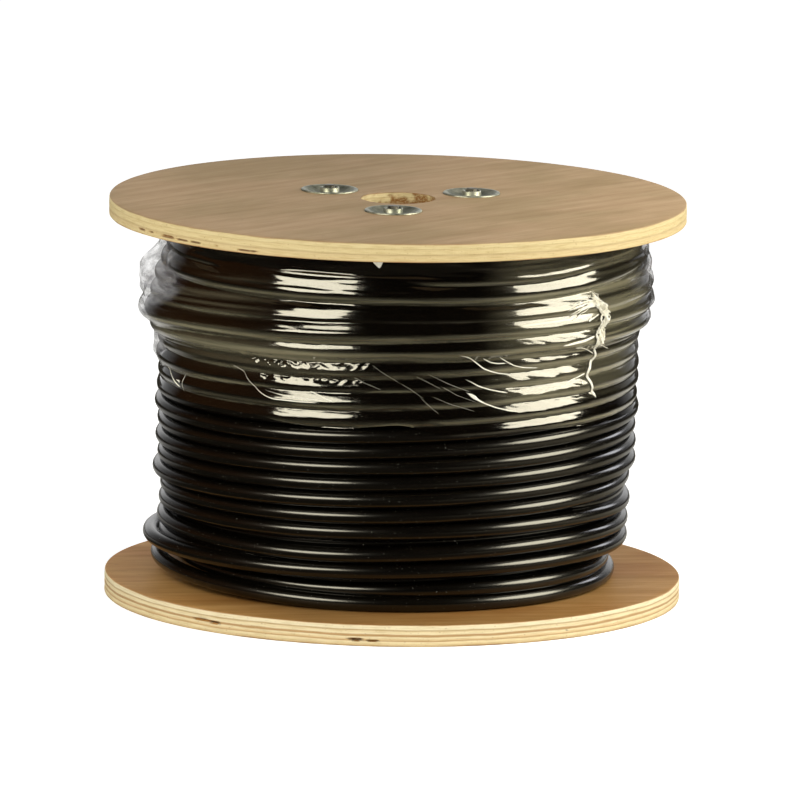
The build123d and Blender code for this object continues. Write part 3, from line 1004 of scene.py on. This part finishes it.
def set_world():
    """White to the eye; in reflections white behind the drum, brown at the far left and nearly
    black elsewhere."""
    world = bpy.data.worlds.new("world")
    bpy.context.scene.world = world
    world.use_nodes = True
    tree = world.node_tree
    tree.nodes.clear()
    path = node(tree, "LightPath").outputs
    heading = node(tree, "SeparateXYZ", {0: node(tree, "TexCoord").outputs["Generated"]}).outputs
    behind = ramp(tree, heading[1], [(0.64, 0.0), (0.86, 0.3), (0.97, 1.0)])
    from_left = fraction(tree, heading[0], -1.0, -0.6)
    room = ramp(tree, from_left, [(0.1, (0.10, 0.042, 0.015, 1)), (1.0, (0.003, 0.0025, 0.002, 1))])
    seen = mixed(tree, 1.0, room, behind, "ADD")
    lit = sums(tree, "MULTIPLY", path["Is Diffuse Ray"], 0.5)
    plain = sums(tree, "MAXIMUM", seen_directly(tree), lit)
    grey = node(tree, "CombineXYZ", {0: plain, 1: plain, 2: plain}).outputs[0]
    colour = mixed(tree, path["Is Glossy Ray"], grey, seen)
    light = node(tree, "Background", {"Color": colour, "Strength": 1.0})
    tree.links.new(light.outputs[0], node(tree, "OutputWorld").inputs[0])


def add_floor():
    """Pale level floor that shows white and keeps the drum's shadow. Glossy surfaces mirror it
    dark, but paler near the drum at the right and behind."""
    side = 6.0
    mesh = bpy.data.meshes.new("floor")
    corners = [(-side, -side, 0), (side, -side, 0), (side, side, 0), (-side, side, 0)]
    mesh.from_pydata(corners, [], [(0, 1, 2, 3)])
    floor = bpy.data.objects.new("floor", mesh)
    bpy.context.scene.collection.objects.link(floor)
    finish = bpy.data.materials.new("pale_floor")
    finish.use_nodes = True
    tree = finish.node_tree
    tree.nodes.clear()
    spot = node(tree, "TexCoord").outputs["Object"]
    across, back, _ = node(tree, "SeparateXYZ", {0: spot}).outputs
    far = node(tree, "VectorMath", {0: spot}, operation="LENGTH").outputs["Value"]
    near = fraction(tree, far, 0.85, 0.5)
    at_right = sums(tree, "MULTIPLY", fraction(tree, across, 0.12, 0.34), near)
    behind = sums(tree, "MULTIPLY", fraction(tree, back, 0.1, 0.4), near)
    mirrored = mixed(tree, at_right, (0.055, 0.048, 0.035, 1), (0.42, 0.38, 0.29, 1))
    mirrored = mixed(tree, behind, mirrored, (0.8, 0.8, 0.78, 1))
    colour = mixed(tree, node(tree, "LightPath").outputs["Is Glossy Ray"], (0.8, 0.8, 0.79, 1), mirrored)
    matt = node(tree, "BsdfDiffuse", {"Color": colour})
    white = sums(tree, "MULTIPLY", seen_directly(tree), 0.62)
    glow = node(tree, "Emission", {"Color": (1, 1, 1, 1), "Strength": white})
    both = node(tree, "AddShader", {0: matt.outputs[0], 1: glow.outputs[0]})
    tree.links.new(both.outputs[0], node(tree, "OutputMaterial").inputs[0])
    mesh.materials.append(finish)


set_camera()
add_lamps()
set_world()
add_floor()
bpy.context.scene.view_settings.view_transform = "Standard"

upper_wood = plywood(
    "upper_plywood", UPPER_LOW, UPPER_TOP,
    [linear(154, 124, 89), linear(171, 142, 105), linear(185, 156, 119), linear(100, 70, 46)],
    [
        (0.0, linear(176, 124, 80)), (0.05, linear(216, 186, 134)), (0.10, linear(226, 206, 154)),
        (0.33, linear(220, 198, 148)), (0.40, linear(204, 180, 132)), (0.45, linear(218, 197, 146)),
        (0.50, linear(228, 210, 158)), (0.70, linear(223, 203, 151)), (0.74, linear(212, 190, 140)),
        (0.78, linear(228, 211, 160)), (0.94, linear(226, 207, 156)), (0.985, linear(178, 146, 106)),
    ],
    grain_turn=45, patch=linear(236, 238, 226), hollow=linear(150, 104, 54),
    # Painted light: the upper faces lighter towards the right, where the light falls strongest.
    painted_light_tones=[(0.1, 1.0), (0.45, 0.88), (0.7, 1.03), (1.0, 1.16)],
)
lower_wood = plywood(
    "lower_plywood", 0, LOWER_TOP,
    [linear(152, 111, 60), linear(174, 130, 72), linear(196, 154, 98), linear(92, 60, 34)],
    # Painted light: these plies are painted lighter than the upper plate's, for the light thrown up from
    # the pale floor.
    [
        (0.0, linear(152, 108, 68)), (0.06, linear(228, 200, 148)), (0.16, linear(246, 228, 182)),
        (0.23, linear(252, 237, 194)), (0.28, linear(208, 168, 114)), (0.33, linear(238, 212, 162)),
        (0.44, linear(252, 238, 198)), (0.49, linear(200, 160, 106)), (0.55, linear(208, 170, 118)),
        (0.60, linear(252, 238, 198)), (0.70, linear(248, 230, 186)), (0.76, linear(206, 176, 126)),
        (0.81, linear(253, 241, 204)), (0.95, linear(252, 237, 198)), (0.99, linear(194, 154, 106)),
    ],
    # Painted shade: the near-black hollow colour in the lower plate's voids and the foot of its bore.
    grain_turn=8, patch=linear(240, 226, 206), hollow=linear(52, 32, 18),
    # Painted light and shade: the lower faces lighter at the left and darker in the middle.
    painted_light_tones=[(0.02, 1.45), (0.15, 1.25), (0.36, 0.76), (0.6, 0.76), (0.82, 0.9), (1.0, 1.05)],
)
jacket = cable_jacket()
make_flanges(upper_wood, lower_wood)
make_winding(jacket)
skin, tail = make_film(clear_film(), folded_film())
make_fixings(plated_steel(), bolt_steel())
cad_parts["barrel"].material_slots[0].material = fibre_board()
